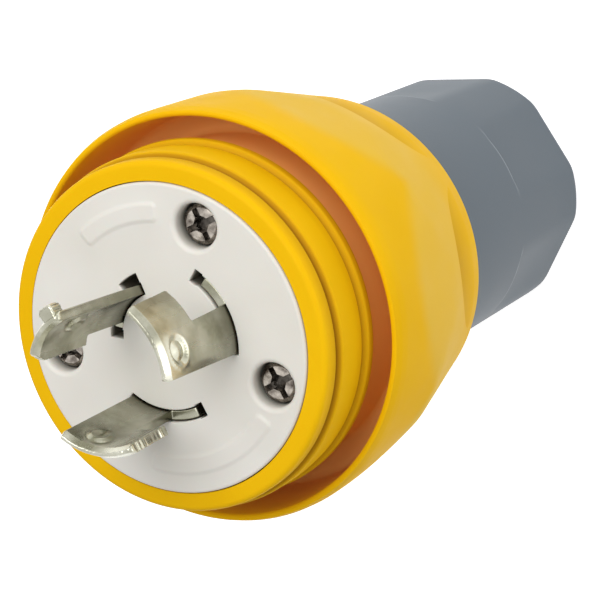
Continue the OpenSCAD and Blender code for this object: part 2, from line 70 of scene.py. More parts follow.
# tones of the finishes as 0-255 values: dark and light patches, then the marked places, which
# are painted light and shade
tones = {
    # the yellow's marked tones are a painted sheen on the facets, painted shade in the grooves
    # and scoops, and painted bounce light deep in the gap
    "yellowElastomer": {"dark": (234, 181, 4), "light": (240, 188, 10), "grip": (232, 188, 60),
                        "shade": (138, 78, 20), "gap": (255, 196, 118)},
    # the grey's marked tone is a painted highlight along the front ends of the nut's flats
    "greyPlastic": {"dark": (78, 89, 98), "light": (84, 95, 104), "paintedHighlight": (136, 143, 149)},
    "whitePlastic": {"dark": (221, 217, 208), "light": (227, 224, 217), "shade": (104, 99, 87)},
    "nickelPlate": {"dark": (162, 161, 140), "light": (206, 205, 190), "shade": (92, 90, 72)},
    "darkSteel": {"dark": (70, 60, 53), "light": (214, 205, 194)},
    "bareBrass": {"dark": (176, 140, 74), "light": (206, 172, 100)},
    "softBlack": {"dark": (26, 26, 27), "light": (38, 38, 39)},
    "naturalPlastic": {"dark": (206, 202, 188), "light": (216, 212, 200)},
    "darkPlastic": {"dark": (48, 50, 53), "light": (56, 58, 61)},
}
noiseSpan = (0.3, 0.7)  # nearly all of a noise's values lie between these


def srgb(r, g, b):
    # 0-255 values as a linear colour
    def channel(v):
        v /= 255
        return v / 12.92 if v <= 0.04045 else ((v + 0.055) / 1.055) ** 2.4
    return (channel(r), channel(g), channel(b), 1)


class Nodes:
    # a few short calls for building one finish's node tree
    def __init__(self, name):
        self.material = bpy.data.materials.new(name)
        self.material.use_nodes = True
        self.tree = self.material.node_tree
        self.tree.nodes.clear()
        self.output = self.tree.nodes.new("ShaderNodeOutputMaterial")
        self.shader = self.tree.nodes.new("ShaderNodeBsdfPrincipled")
        self.link(self.shader.outputs[0], self.output.inputs["Surface"])
        self.coords = self.tree.nodes.new("ShaderNodeTexCoord").outputs["Object"]
        self.tones = {key: srgb(*tone) for key, tone in tones.get(name, {}).items()}

    def link(self, source, target):
        self.tree.links.new(source, target)

    def add(self, kind, **values):
        node = self.tree.nodes.new(kind)
        for key, value in values.items():
            setattr(node, key, value)
        return node

    def stretched(self, scale):
        # object coordinates stretched by an (x, y, z) scale
        mapping = self.add("ShaderNodeMapping")
        mapping.inputs["Scale"].default_value = scale
        self.link(self.coords, mapping.inputs["Vector"])
        return mapping.outputs[0]

    def noise(self, scale, detail=3, vector=None, rough=0.5):
        node = self.add("ShaderNodeTexNoise")
        node.inputs["Scale"].default_value = scale
        node.inputs["Detail"].default_value = detail
        node.inputs["Roughness"].default_value = rough
        self.link(vector or self.coords, node.inputs["Vector"])
        return node.outputs["Fac"]

    def ramp(self, value, stops):
        node = self.add("ShaderNodeValToRGB")
        elements = node.color_ramp.elements
        while len(elements) < len(stops):
            elements.new(0.5)
        for element, (place, colour) in zip(elements, stops):
            element.position = place
            element.color = colour
        self.link(value, node.inputs[0])
        return node.outputs[0]

    def patches(self, noise):
        # the finish's dark and light tones, mixed by a noise
        return self.ramp(noise, list(zip(noiseSpan, (self.tones["dark"], self.tones["light"]))))

    def moved(self, value, low, high, newLow=0, newHigh=1):
        # a value between low and high, moved to another span
        node = self.add("ShaderNodeMapRange")
        spans = {"From Min": low, "From Max": high, "To Min": newLow, "To Max": newHigh}
        for key, number in spans.items():
            node.inputs[key].default_value = number
        self.link(value, node.inputs["Value"])
        return node.outputs[0]

    def spread(self, noise, low, high):
        return self.moved(noise, *noiseSpan, low, high)

    def aboveHeight(self, low, high):
        # black under one height and white over another, both in m
        apart = self.add("ShaderNodeSeparateXYZ")
        self.link(self.coords, apart.inputs[0])
        return self.moved(apart.outputs["Z"], low, high)

    def bump(self, value, height, strength, under=None):
        node = self.add("ShaderNodeBump")
        node.inputs["Distance"].default_value = height * mm
        node.inputs["Strength"].default_value = strength
        self.link(value, node.inputs["Height"])
        if under:
            self.link(under, node.inputs["Normal"])
        return node.outputs[0]

    def darkened(self, colour, shade, share):
        # colour multiplied by shade, by the given share
        node = self.add("ShaderNodeMix", data_type="RGBA", blend_type="MULTIPLY")
        node.inputs[0].default_value = share
        self.link(colour, node.inputs["A"])
        self.link(shade, node.inputs["B"])
        return node.outputs["Result"]

    def marked(self, colour, *marks):
        # the finish's marked tones, which are painted light and shade, where the mesh's marks
        # are 1
        for mark in marks:
            amount = self.add("ShaderNodeAttribute", attribute_name=mark)
            node = self.add("ShaderNodeMix", data_type="RGBA")
            self.link(amount.outputs["Fac"], node.inputs[0])
            self.link(colour, node.inputs["A"])
            node.inputs["B"].default_value = self.tones[mark]
            colour = node.outputs["Result"]
        return colour

    def set(self, **sockets):
        names = {"color": "Base Color", "rough": "Roughness", "normal": "Normal",
                 "metal": "Metallic", "specular": "Specular IOR Level",
                 "scatter": "Subsurface Weight", "reach": "Subsurface Scale"}
        for key, value in sockets.items():
            socket = self.shader.inputs[names[key]]
            if isinstance(value, bpy.types.NodeSocket):
                self.link(value, socket)
            else:
                socket.default_value = value
        return self.material


# finishes
def yellowElastomer():
    tree = Nodes("yellowElastomer")
    # patches, then painted sheen, painted shade and painted bounce light
    colour = tree.marked(tree.patches(tree.noise(55, 2)), "grip", "shade", "gap")
    flow = tree.noise(160, 2)
    normal = tree.bump(flow, 0.05, 0.25)
    normal = tree.bump(tree.noise(2600), 0.02, 0.5, normal)
    return tree.set(color=colour, rough=tree.spread(flow, 0.5, 0.6), specular=0.06,
                    normal=normal, scatter=0.04, reach=2 * mm)


def greyPlastic():
    tree = Nodes("greyPlastic")
    cloud = tree.noise(60, 2)
    # patches, then a painted highlight along the flats' front ends
    colour = tree.marked(tree.patches(cloud), "paintedHighlight")
    normal = tree.bump(tree.noise(3000), 0.02, 0.5)
    return tree.set(color=colour, rough=tree.spread(cloud, 0.42, 0.5), specular=0.3,
                    normal=normal)


def whitePlastic():
    tree = Nodes("whitePlastic")
    cloud = tree.noise(70, 2)
    colour = tree.marked(tree.patches(cloud), "shade")
    normal = tree.bump(tree.noise(2400), 0.02, 0.4)
    return tree.set(color=colour, rough=tree.spread(cloud, 0.45, 0.55), specular=0.4,
                    normal=normal, scatter=0.08, reach=2 * mm)


def nickelPlate():
    tree = Nodes("nickelPlate")
    streak = tree.noise(300, 4, tree.stretched((1, 1, 0.12)))
    cloud = tree.noise(180)
    tarnish = tree.ramp(tree.noise(130, 5, rough=0.6),
                        [(0.36, (0.38, 0.37, 0.31, 1)), (0.52, (1, 1, 1, 1))])
    colour = tree.marked(tree.darkened(tree.patches(cloud), tarnish, 0.5), "shade")
    normal = tree.bump(streak, 0.03, 0.35)
    normal = tree.bump(cloud, 0.1, 0.12, normal)
    return tree.set(color=colour, metal=1, rough=tree.spread(streak, 0.2, 0.34), normal=normal)


def darkSteel():
    tree = Nodes("darkSteel")
    cloud = tree.noise(700, 4)
    # painted shade in the screw heads' recesses, darker under a height near the head's top
    recessShade = tree.aboveHeight((screwTop - 0.9) * mm, (screwTop - 0.35) * mm)
    colour = tree.darkened(tree.patches(cloud), recessShade, 0.75)
    normal = tree.bump(cloud, 0.12, 0.6)
    return tree.set(color=colour, metal=1, rough=tree.spread(cloud, 0.16, 0.36), normal=normal)


def bareBrass():
    tree = Nodes("bareBrass")
    cloud = tree.noise(400)
    return tree.set(color=tree.patches(cloud), metal=1, rough=tree.spread(cloud, 0.25, 0.4),
                    normal=tree.bump(cloud, 0.04, 0.3))


def softBlack():
    tree = Nodes("softBlack")
    grain = tree.noise(1500)
    return tree.set(color=tree.patches(grain), rough=0.7, normal=tree.bump(grain, 0.03, 0.5))


def innerPlastic(name):
    tree = Nodes(name)
    colour = tree.patches(tree.noise(90))
    return tree.set(color=colour, rough=0.5, normal=tree.bump(tree.noise(2400), 0.02, 0.4))


finishes = {
    "boot_rubber": yellowElastomer(),
    "nut_plastic": greyPlastic(),
    "face_plastic": whitePlastic(),
    "blade_metal": nickelPlate(),
    "plated_steel": darkSteel(),
    "terminal_brass": bareBrass(),
    "black_rubber": softBlack(),
    "natural_plastic": innerPlastic("naturalPlastic"),
    "housing_plastic": innerPlastic("darkPlastic"),
}
slotOf = {part["node"]: part["material_slot"] for part in frame["record"]["subparts"]}
for name, node in nodes.items():
    node.data.materials.clear()
    node.data.materials.append(finishes[slotOf[name]])
print("materials made:", len(finishes))


# mesh helpers
sharpest = 32       # edges with a larger angle stay sharp
support = 0.05      # from a rounded edge to the loop that keeps the flat beside it flat


def arcPoints(centreR, centreZ, radius, start, end, steps):
    # points of an arc in the (radius, height) plane
    turns = [math.radians(start + (end - start) * i / steps) for i in range(steps + 1)]
    return [(centreR + radius * math.cos(t), centreZ + radius * math.sin(t)) for t in turns]


def roundLoop(radius, centre=(0, 0), count=64):
    turns = [2 * math.pi * i / count for i in range(count)]
    return [(centre[0] + radius * math.cos(t), centre[1] + radius * math.sin(t)) for t in turns]


def smallerOf(a, b, blend):
    # the smaller of two values, with a rounded change from one to the other
    reach = max(blend - abs(a - b), 0) / blend
    return min(a, b) - reach * reach * blend / 4


def eased(value, low, high):
    # 0 at low, 1 at high, with a soft start and end
    share = min(max((value - low) / (high - low), 0), 1)
    return share * share * (3 - 2 * share)


def peak(value, middle, width):
    # 1 at the middle, and soon 0 on both sides of it
    return math.exp(-((value - middle) / width) ** 2)


def fromNearest(turn, count, angle):
    # how far a turn is from the nearest of count even places, of which one is at the angle
    step = 2 * math.pi / count
    return (turn - math.radians(angle) + step / 2) % step - step / 2


def finishedMesh(name, made, **marks):
    # a smooth-shaded object from a bmesh; marks are numbers on its points for the finish to read
    bmesh.ops.recalc_face_normals(made, faces=made.faces)
    made.verts.index_update()
    values = {key: [mark[vert] for vert in made.verts] for key, mark in marks.items()}
    mesh = bpy.data.meshes.new(name)
    made.to_mesh(mesh)
    made.free()
    for face in mesh.polygons:
        face.use_smooth = True
    mesh.set_sharp_from_angle(angle=math.radians(sharpest))
    for key, numbers in values.items():
        mesh.attributes.new(key, "FLOAT", "POINT").data.foreach_set("value", numbers)
    piece = bpy.data.objects.new(name, mesh)
    scene.collection.objects.link(piece)
    return piece


def turnedMesh(name, columns, profileAt, *marks):
    # a body round the axis; profileAt(turn) gives its (radius, height, mark, ...) points there
    made = bmesh.new()
    numbers = {mark: {} for mark in marks}
    rings = []
    for column in range(columns):
        turn = 2 * math.pi * column / columns
        ring = []
        for r, z, *values in profileAt(turn):
            vert = made.verts.new(Vector((r * math.cos(turn), r * math.sin(turn), z)) * mm)
            for mark, value in zip(marks, values):
                numbers[mark][vert] = value
            ring.append(vert)
        rings.append(ring)
    count = len(rings[0])
    for near, far in zip(rings, rings[1:] + rings[:1]):
        for row in range(count):
            after = (row + 1) % count
            made.faces.new((near[row], near[after], far[after], far[row]))
    return finishedMesh(name, made, **numbers)


def dress(piece, slot, *replaced):
    # gives a new piece its finish and its body, and hides the nodes it stands for
    piece.data.materials.append(finishes[slot])
    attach(piece, "root")
    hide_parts(*replaced)


class Shell:
    # a mesh made of loops of points, walls between loops, and filled caps
    def __init__(self, place, shadeAt):
        self.made = bmesh.new()
        self.place = place      # turns (u, v, depth) into a point
        self.shadeAt = shadeAt  # how much painted shade the finish gets at (u, v, depth)
        self.flat = {}
        self.shade = {}

    def vertex(self, u, v, depth):
        vert = self.made.verts.new(self.place(u, v, depth) * mm)
        self.flat[vert] = (u, v)
        self.shade[vert] = self.shadeAt(u, v, depth)
        return vert

    def loop(self, points, depth):
        return [self.vertex(u, v, depth) for u, v in points]

    def stack(self, steps):
        # walls through (points, depth) loops; returns the first and the last loop
        loops = [self.loop(points, depth) for points, depth in steps]
        for near, far in zip(loops, loops[1:]):
            count = len(near)
            for i in range(count):
                after = (i + 1) % count
                self.made.faces.new((near[i], near[after], far[after], far[i]))
        return loops[0], loops[-1]

    def cap(self, outer, holes, depth, inner=()):
        # fills a loop, leaves its holes open, and uses the inner points as well
        verts, edges = [], []
        for ring in [outer] + holes:
            first = len(verts)
            verts += ring
            edges += [(first + i, first + (i + 1) % len(ring)) for i in range(len(ring))]
        verts += [self.vertex(u, v, depth) for u, v in inner]
        places = [Vector(self.flat[vert]) for vert in verts]
        found = delaunay_2d_cdt(places, edges, [], 0, 1e-7)
        spots, triangles, origins = found[0], found[2], found[3]
        outline = [self.flat[vert] for vert in outer]
        gaps = [[self.flat[vert] for vert in ring] for ring in holes]
        for triangle in triangles:
            middle = sum((spots[i] for i in triangle), Vector((0, 0))) / len(triangle)
            filled = insideLoop(middle, outline) and not any(insideLoop(middle, g) for g in gaps)
            # a point that the fill made itself, where outlines cross, has no origin
            if filled and all(origins[i] for i in triangle):
                self.made.faces.new([verts[origins[i][0]] for i in triangle])

    def finish(self, name):
        return finishedMesh(name, self.made, shade=self.shade)


def insideLoop(spot, outline):
    inside = False
    x, y = spot
    x0, y0 = outline[-1]
    for x1, y1 in outline:
        if (y0 > y) != (y1 > y) and x < x0 + (y - y0) * (x1 - x0) / (y1 - y0):
            inside = not inside
        x0, y0 = x1, y1
    return inside


def evenSteps(points, step):
    # the same closed outline with points at about even steps
    kept = []
    for here, ahead in zip(points, points[1:] + points[:1]):
        gap = Vector(ahead) - Vector(here)
        pieces = max(1, round(gap.length / step))
        kept += [tuple(Vector(here) + gap * k / pieces) for k in range(pieces)]
    return kept


def roundedOutline(corners, spacing, least=0.0):
    # a closed outline through (u, v, radius) corners, counterclockwise, at about even steps;
    # outer corners get the least radius at least
    bends = []
    count = len(corners)
    for i, (u, v, radius) in enumerate(corners):
        here = Vector((u, v))
        back = (Vector(corners[i - 1][:2]) - here).normalized()
        ahead = (Vector(corners[(i + 1) % count][:2]) - here).normalized()
        half = back.angle(ahead) / 2
        if ahead.cross(back) > 0 and radius > 0:
            radius = max(radius, least)
        if radius <= 0 or half > math.radians(88):
            bends.append([here])
            continue
        trim = radius / math.tan(half)
        centre = here + (back + ahead).normalized() * radius / math.sin(half)
        start, end = here + back * trim, here + ahead * trim
        steps = max(2, round(radius * (math.pi - 2 * half) / spacing) + 2)
        bend = []
        for k in range(steps + 1):
            way = (start - centre).lerp(end - centre, k / steps)
            bend.append(centre + way.normalized() * radius)
        bends.append(bend)
    points = []
    for bend, following in zip(bends, bends[1:] + bends[:1]):
        points += bend
        gap = following[0] - bend[-1]
        pieces = max(1, round(gap.length / spacing))
        points += [bend[-1] + gap * k / pieces for k in range(1, pieces)]
    kept = []
    for point in points:
        if not kept or (point - kept[-1]).length > 0.01:
            kept.append(point)
    return [tuple(point) for point in kept]


def shrunk(points, distance, extra=None):
    # a counterclockwise outline moved inwards, or outwards where the distance is negative
    moved = []
    count = len(points)
    for i, (u, v) in enumerate(points):
        along = Vector(points[(i + 1) % count]) - Vector(points[i - 1])
        inward = Vector((-along.y, along.x)).normalized()
        step = distance + (extra(u, v) if extra else 0)
        moved.append((u + inward.x * step, v + inward.y * step))
    return moved


def quarterTurn(radius, steps):
    # (inset, depth) places over a rounded edge, from the flat to the side
    turns = [math.pi / 2 * k / steps for k in range(steps + 1)]
    return [(radius * (1 - math.sin(t)), radius * (1 - math.cos(t))) for t in turns]


def roundedEdge(shell, points, thickness, rounding, side=1, extra=None, steps=4):
    # loops over the edge of a plate, from the front to the back; side is -1 for a hole
    held = shrunk(points, side * (rounding + support))
    front = quarterTurn(rounding, steps)
    rear = [(inset, thickness - depth) for inset, depth in reversed(front)]
    rows = [(shrunk(points, side * inset, extra), depth) for inset, depth in front + rear]
    return shell.stack([(held, 0)] + rows + [(held, thickness)])


def gridInside(outline, holes, step, rings=(), rows=()):
    # even points inside an outline; rings are (u, v, radii) places that need finer points,
    # and rows are heights with a row of points each
    edge = [point for ring in [outline] + holes for point in ring]
    near = KDTree(len(edge))
    for i, (u, v) in enumerate(edge):
        near.insert((u, v, 0), i)
    near.balance()
    us, vs = [u for u, v in outline], [v for u, v in outline]
    low, wide, high = min(us), max(us) - min(us), max(vs) - min(vs)
    spots = []
    for a in range(int(wide / step) + 1):
        for b in range(int(high / step) + 1):
            spots.append((low + (a + 0.5) * step, min(vs) + (b + 0.5 * (a % 2)) * step))
    spots = [spot for spot in spots if all(abs(spot[1] - row) > 0.4 * step for row in rows)]
    spots += [(low + a * step / 2, row) for row in rows for a in range(int(2 * wide / step))]
    spots = [spot for spot in spots
             if all(math.dist(spot, ring[:2]) > ring[2][-1] + step * 0.6 for ring in rings)]
    for u, v, radii in rings:
        spots.append((u, v))
        for k, radius in enumerate(radii):
            count = 28 if radius > 0.8 else 14
            turns = [2 * math.pi * (i + 0.5 * (k % 2)) / count for i in range(count)]
            spots += [(u + radius * math.cos(t), v + radius * math.sin(t)) for t in turns]
    return [spot for spot in spots
            if insideLoop(spot, outline) and not any(insideLoop(spot, hole) for hole in holes)
            and near.find((spot[0], spot[1], 0))[2] > 0.3 * step]


# boot
boot = {
    "columns": 480,
    "bore": 22.65,              # radius
    "noseRadius": 25.45,
    "noseRound": 0.9,
    "middleRib": 26.05,         # radius
    "lastRib": 26.45,
    "core": 25.1,               # radius of the nose behind its last rib
    "grooves": (3.2, 10.2),     # depths under the front of the nose
    "grooveDepth": 0.8,
    "ribEnd": 12.3,             # depth
    "ribRound": 0.4,
    "gapDepth": 24.0,
    "gapFillet": 1.2,
    "gapMiddle": 27.0,          # radius between the nose and the shroud
    "gapNarrows": 0.6,
    "lipSetback": 11.0,
    "lipRound": 0.588,
    "wall": 1.4,                # thickness of the shroud at its lip
    "rimRadius": 26.2,          # rear rim
    "rimRound": 0.6,
    "nutGap": 0.3,
    "tailHole": 18.55,          # radius
    "shoulder": 4.6,            # height over the rear rim, as are all heights from here on
    "shoulderSlope": 4.2,
    "taperEnd": 20.7,
    "taperStep": 0.4,           # how far the taper's end is under the full radius
    "facets": 6,
    "facetAngle": 2,
    "facetFoot": 30.9,          # radius at which a facet starts
    "facetStart": 29.0,         # height at which it starts
    "facetCurve": 50.0,
    "facetSlope": 6.3,
    "facetBlend": 0.25,
    "gripFront": 29.3,          # the painted sheen on the facets starts here at a facet's middle
    "gripArch": 8.5,            # and this much nearer the rear between the facets
    "gripSoft": 2.2,
    "scoopFront": 11.8,         # height of a finger scoop's front edge
    "scoopLength": 8.2,
    "scoopDepth": 0.9,
    "scoopRound": 12.2,         # radius of that edge, seen from the side
    "scoopReach": 28.0,         # radius at which its width is measured
    "scoopEdge": 0.22,          # width of the slope at that edge
}
lipHeight = noseTop - boot["lipSetback"] - bootBottom
fullRadius = bootRadius - boot["taperStep"]


def ribFront(radius, groove):
    # the front edge of a rib, just behind a groove
    rounding = boot["ribRound"]
    return ([(radius - 0.3, groove - 0.42)]
            + arcPoints(radius - rounding, groove - 0.85, rounding, 70, 0, 4))


def bootInside():
    # profile of the nose, the gap and the shroud's lip, as (radius, height)
    nose, middle, last = boot["noseRadius"], boot["middleRib"], boot["lastRib"]
    bore, core = boot["bore"], boot["core"]
    groove1, groove2 = (noseTop - depth for depth in boot["grooves"])
    rounding, ribEnd = boot["ribRound"], noseTop - boot["ribEnd"]
    points = [(bore, noseTop), (bore + 0.3, noseTop)]
    points += arcPoints(nose - boot["noseRound"], noseTop - boot["noseRound"],
                        boot["noseRound"], 90, 0, 6)
    points += [(nose, groove1 + 0.5), (nose - 0.1, groove1 + 0.4)]
    points += arcPoints(nose - boot["grooveDepth"] + 0.2, groove1, 0.2, 120, 240, 4)
    points += ribFront(middle, groove1)
    points += [(middle, groove2 + 2.6), (middle - 0.2, groove2 + 0.55)]
    points += arcPoints(nose + 0.15, groove2, 0.24, 120, 240, 4)
    points += ribFront(last, groove2)
    points += arcPoints(last - rounding, ribEnd + rounding, rounding, 0, -90, 4)
    points += [(core, ribEnd - 0.35)]
    fillet, gapFloor = boot["gapFillet"], noseTop - boot["gapDepth"]
    gapWall = bootRadius - boot["wall"]
    gapFoot = gapWall - boot["gapNarrows"]
    lip, lipRound = noseTop - boot["lipSetback"], boot["lipRound"]
    points += arcPoints(core + fillet, gapFloor + fillet, fillet, 180, 270, 6)
    points += arcPoints(gapFoot - fillet, gapFloor + fillet, fillet, 270, 360, 6)
    points += arcPoints(gapWall + lipRound, lip - lipRound, lipRound, 180, 60, 6)
    return points


def bootRear():
    # profile of the rear rim, the nut's recess and the hole for the housing's tail
    low, rounding = bootBottom, boot["rimRound"]
    nut, hole = nutRadius + boot["nutGap"], boot["tailHole"]
    shoulder = low + boot["shoulder"]
    rim = arcPoints(boot["rimRadius"] - rounding, low + rounding, rounding, 0, -90, 6)
    return rim + [(nut, low), (nut, nutTop), (hole, nutTop), (hole, shoulder),
                  (boot["bore"], shoulder + boot["shoulderSlope"])]


def taperRadius(height):
    rim, start = boot["rimRadius"], boot["rimRound"]
    return rim + (fullRadius - rim) * (height - start) / (boot["taperEnd"] - start)


def outsideRadius(height):
    # the outside without facets and scoops: the taper, a soft bend, the band and the lip
    bends = [(boot["taperEnd"], fullRadius), (boot["taperEnd"] + 1.8, bootRadius - 0.15),
             (lipHeight - 5, bootRadius), (lipHeight - 2.6, bootRadius),
             (lipHeight - 1.1, bootRadius - 0.15)]
    if height <= boot["taperEnd"]:
        return taperRadius(height)
    for (h0, r0), (h1, r1) in zip(bends, bends[1:]):
        if height <= h1:
            return r0 + (r1 - r0) * (height - h0) / (h1 - h0)
    return bends[-1][1]


def facetRadius(off, height):
    # a facet is curved along the plug and flat across it; off is the angle from its middle
    slope, curve = math.radians(boot["facetSlope"]), boot["facetCurve"]
    a = math.cos(slope) * math.cos(off)
    b = (curve - boot["facetFoot"] * math.cos(slope)
         - (height - boot["facetStart"]) * math.sin(slope))
    square = a * a + math.sin(off) ** 2
    return (-a * b + math.sqrt(a * a * b * b - square * (b * b - curve * curve))) / square


def scoopHeight(off):
    # height of the round front edge of a finger scoop
    reach = boot["scoopRound"] ** 2 - (boot["scoopReach"] * math.sin(off)) ** 2
    return boot["scoopFront"] - boot["scoopRound"] + math.sqrt(reach) if reach > 0 else -1.0


def scoopFloor(height):
    # radius of the straight floor that a scoop cuts into the taper
    end = boot["scoopFront"] - boot["scoopLength"]
    sunk = taperRadius(boot["scoopFront"]) - boot["scoopDepth"]
    rise = (sunk - taperRadius(end)) / boot["scoopLength"]
    return taperRadius(end) + rise * (height - end) if height > end else math.inf


def insideMarks(r, z):
    # painted sheen (none here), painted shade in the grooves and on the last rib, and painted
    # bounce light deep in the gap
    depth = noseTop - z
    if r > boot["gapMiddle"]:
        # painted bounce light on the shroud's inner wall, growing with depth
        return 0.0, 0.0, 0.4 * eased(depth, 11, 12.5) + 0.6 * eased(depth, 13, 20)
    inGap = eased(depth, 11.9, 12.5)
    groove1, groove2 = boot["grooves"]
    lines = max(peak(depth, groove1, 0.45), 0.6 * peak(depth, groove2, 0.4))
    rib = 0.25 * eased(depth, 10.0, 10.6)
    return 0.0, max(lines, rib) * (1 - inGap), inGap


def outsideAt(off, height):
    # radius and height of a point of the outside, then its painted sheen, painted shade and
    # painted bounce light marks
    radius = smallerOf(outsideRadius(height), facetRadius(off, height), boot["facetBlend"])
    # painted sheen over the facets' rear part, weaker towards the rim and left out of the scoops
    border = boot["gripFront"] - boot["gripArch"] * (off / math.radians(30)) ** 2
    grip = eased(border - height, -boot["gripSoft"], boot["gripSoft"])
    grip *= 0.25 + 0.75 * eased(height, 2, 13)
    inside = scoopHeight(off) - height
    depth = max(radius - scoopFloor(height), 0)
    sunk = depth * eased(inside, -0.05, boot["scoopEdge"])
    grip *= 1 - eased(inside, -0.3, 0.1)
    # painted shade in the scoops, darker where they sink deeper
    shade = 0.42 * sunk / boot["scoopDepth"]
    return radius - sunk, bootBottom + height, grip, shade, 0.0


def outsideHeights(off):
    # heights of a column's points, close together at the front edge of a scoop
    low, high = 0.725, lipHeight - 1.1
    edge = max(scoopHeight(off), 5.0)
    above = [edge + 1.0 + (high - edge - 1.0) * i / 66 for i in range(66, 0, -1)]
    gaps = (1.0, 0.6, 0.35, 0.18, 0.06, -0.05, -0.15, -0.25, -0.36, -0.48, -0.7, -1.0)
    below = [low + (edge - 1.0 - low) * i / 26 for i in range(25, -1, -1)]
    return above + [edge + gap for gap in gaps] + below


def makeBoot():
    inside = [(r, z, *insideMarks(r, z)) for r, z in bootInside()]
    rear = [(r, z, 0.0, 0.0, 0.0) for r, z in bootRear()]

    def profileAt(turn):
        off = fromNearest(turn, boot["facets"], boot["facetAngle"])
        return inside + [outsideAt(off, height) for height in outsideHeights(off)] + rear
    return turnedMesh("bootBody", boot["columns"], profileAt, "grip", "shade", "gap")


dress(makeBoot(), "boot_rubber", "boot")
print("boot made")

# blades
blades = {
    "thickness": 1.45,
    "edgeRounding": 0.2,
    "holeRounding": 0.1,
    "tipBevel": 1.1,
    "tipLand": 0.45,
    "hookHeight": 8.6,
    "shoulderGap": 4.0,         # arc left open at the end of a slot
    "shoulderSink": 0.45,
    "flangeSide": 5.0,          # arc beyond the blade's edge
    "flangeHeight": 2.3,
    "tailLength": 13.0,
    "tailWidth": 8.0,
    "screwHole": 1.65,          # radius of the terminal screw's hole
    "dimpleAngle": 21.5,        # from the long edge
    "dimpleHeight": 13.9,
    "dimpleRadius": 1.95,
    "dimpleDepth": 0.42,
    "dimpleRim": 0.09,
    "ridge": 0.12,              # depth of the shear marks on the hook's edge
    "ridgePitch": 0.75,
    "outlineStep": 0.2,
    "gridStep": 0.6,
}
# where each blade starts, its inner radius, the arcs of its neck and hook, its height over the
# face, the slant of its long edge, its tilt and the bevel of the hook's corner
poles = {
    "line_blade_x": {"start": -9.0, "radius": 10.35, "neck": 35.0, "hook": 27.0, "length": 18.0,
                     "slant": 2.8, "tilt": 0.0, "bevel": (0.5, 0.5)},
    "line_blade_y": {"start": -129.0, "radius": 10.35, "neck": 35.0, "hook": 27.0,
                     "length": 18.0, "slant": 0.0, "tilt": 0.0, "bevel": (0.5, 0.5)},
    "neutral_blade": {"start": 109.0, "radius": 7.1, "neck": 51.0, "hook": 12.0, "length": 21.0,
                      "slant": 0.0, "tilt": 3.4, "bevel": (1.3, 2.4)},
}
tab = {
    "inset": 3.0,               # arc from the blade's first edge
    "arc": 16.0,
    "rootRadius": 7.7,
    "radius": 10.0,
    "corner": 0.7,
    "length": 2.35,
    "below": 0.25,              # from the blade's tip
    "rounding": 0.3,
    "ridge": 0.05,
}
edgeSpare = 0.08    # an outline's corner radius is at least this much over the edge's rounding


def middleRadius(pole):
    return pole["radius"] + blades["thickness"] / 2


def arcLength(pole, degrees):
    # a length along the middle of the sheet
    return math.radians(degrees) * middleRadius(pole)


def bladeOutline(pole):
    # corners as length along the arc, height over the face and rounding; then the screw hole
    radius, length, bevel = pole["radius"], pole["length"], pole["bevel"]
    end, neckEnd = arcLength(pole, pole["neck"] + pole["hook"]), arcLength(pole, pole["neck"])
    centre = end / 2
    outer = radius + blades["thickness"]
    half = math.asin(blades["tailWidth"] / 2 / outer) * middleRadius(pole)
    flangeLow = -seatDepth - blades["flangeHeight"]
    tailEnd = flangeLow - blades["tailLength"]
    side = arcLength(pole, blades["flangeSide"])
    shoulder = end - arcLength(pole, blades["shoulderGap"])
    sink, hookHeight = -blades["shoulderSink"], blades["hookHeight"]
    lean = math.tan(math.radians(pole["slant"])) * length * middleRadius(pole) / radius
    corners = [
        (centre - half, tailEnd, 0.6), (centre + half, tailEnd, 0.6),
        (centre + half, flangeLow, 0.3), (end + side, flangeLow, 0.3),
        (end + side, -seatDepth, 0.3), (shoulder, -seatDepth, 0.2), (shoulder, sink, 0.25),
        (neckEnd, sink, 0.2), (neckEnd, hookHeight, 0.35), (end, hookHeight, 0.4),
        (end, length - bevel[1], 0.6), (end - bevel[0], length, 0.6),
        (lean + 0.4, length, 0.3), (lean, length - 0.4, 0.3), (0, 0, 0),
        (0, -seatDepth, 0.2), (-side, -seatDepth, 0.3), (-side, flangeLow, 0.3),
        (centre - half, flangeLow, 0.3)]
    outline = roundedOutline(corners, blades["outlineStep"], blades["edgeRounding"] + edgeSpare)
    hole = roundLoop(blades["screwHole"], (centre, (tailEnd + flangeLow) / 2), 28)
    return outline, hole


def upright(pole, turn, r, height):
    # the point at a turn, a radius and a height over the face, before and after the tilt
    spot = Vector((r * math.cos(turn), r * math.sin(turn), height))
    return spot, Matrix.Rotation(-math.radians(pole["tilt"]), 3, "X") @ spot


def dimpleSunk(away):
    # depth of the coined dimple at a distance from its middle, with a dome in it and a rim
    wide, deep = blades["dimpleRadius"], blades["dimpleDepth"]
    bowl = deep * (1 - eased(away, wide * 0.72, wide * 1.02))
    dome = deep * 0.8 * (1 - eased(away, wide * 0.1, wide * 0.74))
    return bowl - dome - blades["dimpleRim"] * peak(away, wide * 1.12, 0.2)


def bladePlace(pole):
    # bends the flat blade round the axis, thins its tip, coins the dimple and tilts it
    thick = blades["thickness"]
    start = math.radians(pole["start"])
    dimple = (arcLength(pole, blades["dimpleAngle"]), blades["dimpleHeight"])
    land = blades["tipLand"] / thick

    def place(u, v, depth):
        fromTip = max(pole["length"] - v, 0)
        share = land + (1 - land) * min(fromTip / blades["tipBevel"], 1)
        if v > 0:
            depth = thick / 2 + (depth - thick / 2) * share
        r = pole["radius"] + thick - depth - dimpleSunk(math.dist((u, v), dimple))
        straight, tilted = upright(pole, start + u / middleRadius(pole), r, v)
        return straight.lerp(tilted, eased(v, -0.5, 0.5)) + Vector((0, 0, faceTop))
    return place, dimple


